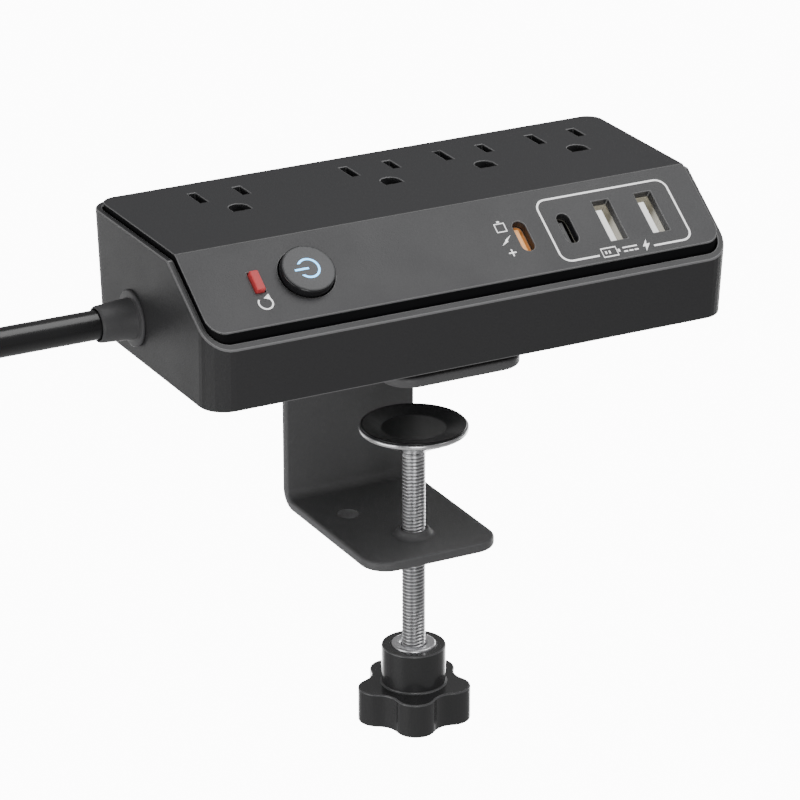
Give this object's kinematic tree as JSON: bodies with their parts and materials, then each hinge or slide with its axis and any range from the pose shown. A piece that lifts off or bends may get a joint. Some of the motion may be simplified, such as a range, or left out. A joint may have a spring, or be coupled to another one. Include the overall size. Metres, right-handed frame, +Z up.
{
  "type": "clamp-on desk power strip",
  "caption": "Desk-edge power strip: dark grey case with four grounded outlets, a lit power button, a reset breaker, two USB-C and two USB-A ports, on a steel C clamp with a star knob, and a 1.8 m cord with plug.",
  "frame": {"origin": "on the clamp screw's axis, at the underside of the upper jaw where the desk top's upper face touches it", "axes": "+X along the strip towards the USB end, -Y towards the user, +Z up"},
  "size_m": [0.3329, 0.1142, 0.152],
  "materials": {
    "case_plastic": "satin",
    "cover_plastic": "satin",
    "band_black": "matte",
    "carrier_black": "matte",
    "contact_brass": "satin",
    "button_black": "gloss",
    "symbol_glow": "lit",
    "button_red": "satin",
    "board_green": "satin",
    "winding_yellow": "matte",
    "can_blue": "gloss",
    "shell_steel": "satin",
    "tongue_white": "satin",
    "tongue_orange": "satin",
    "tongue_black": "satin",
    "boot_grey": "satin",
    "cord_pvc": "gloss",
    "wire_white": "satin",
    "wire_black": "satin",
    "wire_green": "satin",
    "fastener_steel": "satin",
    "bracket_paint": "satin",
    "foam_black": "matte",
    "screw_zinc": "satin",
    "knob_black": "gloss",
    "cup_chrome": "polished",
    "pad_rubber": "semi-gloss",
    "plug_pvc": "satin"
  },
  "bodies": {
    "case_and_bracket": {"base_case": "case_plastic", "top_cover": "cover_plastic", "reveal_band": "band_black", "contact_carrier": "carrier_black", "neutral_busbar": "contact_brass", "line_busbar": "contact_brass", "ground_busbar": "contact_brass", "power_switch": "carrier_black", "reset_breaker": "carrier_black", "main_board": "board_green", "transformer": "winding_yellow", "capacitors": "can_blue", "usb_board": "board_green", "usb_a_shells": "shell_steel", "usb_a_tongues": "tongue_white", "usb_c_shells": "shell_steel", "usb_c_fast_tongue": "tongue_orange", "usb_c_tongue": "tongue_black", "cord_boot": "boot_grey", "inner_cord": "cord_pvc", "cord_clamp": "carrier_black", "cord_clamp_screws": "fastener_steel", "neutral_wire": "wire_white", "line_wire": "wire_black", "ground_wire": "wire_green", "case_screws": "fastener_steel", "bracket_upper_jaw": "bracket_paint", "bracket_web": "bracket_paint", "bracket_lower_jaw": "bracket_paint", "bracket_foam": "foam_black", "bracket_screws": "fastener_steel", "threaded_collar": "bracket_paint", "cord_lead": "cord_pvc", "cord_coil": "cord_pvc", "cord_tail": "cord_pvc", "plug_boot": "plug_pvc", "plug_body": "plug_pvc", "plug_blades": "contact_brass", "plug_ground_pin": "contact_brass"},
    "power_button_body": {"power_button": "button_black", "power_symbol": "symbol_glow"},
    "reset_button_body": {"reset_button": "button_red"},
    "swivel_stud": {"swivel_ball": "screw_zinc"},
    "screw_and_knob": {"clamp_screw": "screw_zinc", "knob_insert": "screw_zinc", "clamp_knob": "knob_black"},
    "pressure_pad": {"pad_cup": "cup_chrome", "pad_cover": "pad_rubber"}
  },
  "joints": [
    {"name": "pad_travel", "type": "slide", "parent": "case_and_bracket", "child": "swivel_stud", "axis": [0, 0, 1], "range_m": [-0.021, 0.0208]},
    {"name": "screw_turn", "type": "hinge", "parent": "swivel_stud", "child": "screw_and_knob", "pos_m": [0, 0, -0.06], "axis": [0, 0, 1], "range_deg": [-7600, 7600]},
    {"name": "pad_tilt", "type": "hinge", "parent": "swivel_stud", "child": "pressure_pad", "pos_m": [0, 0, -0.0276], "axis": [1, 0, 0], "range_deg": [-4, 4]},
    {"name": "power_press", "type": "slide", "parent": "case_and_bracket", "child": "power_button_body", "axis": [0, 0.5764, -0.8171], "range_m": [0, 0.0012], "stiffness_N_per_m": 800},
    {"name": "reset_press", "type": "slide", "parent": "case_and_bracket", "child": "reset_button_body", "axis": [0, 0.5764, -0.8171], "range_m": [0, 0.0012], "stiffness_N_per_m": 800}
  ],
  "couplings": [
    {"joint": "screw_turn", "follows": "pad_travel", "rad_per_m": 6283.2}
  ]
}
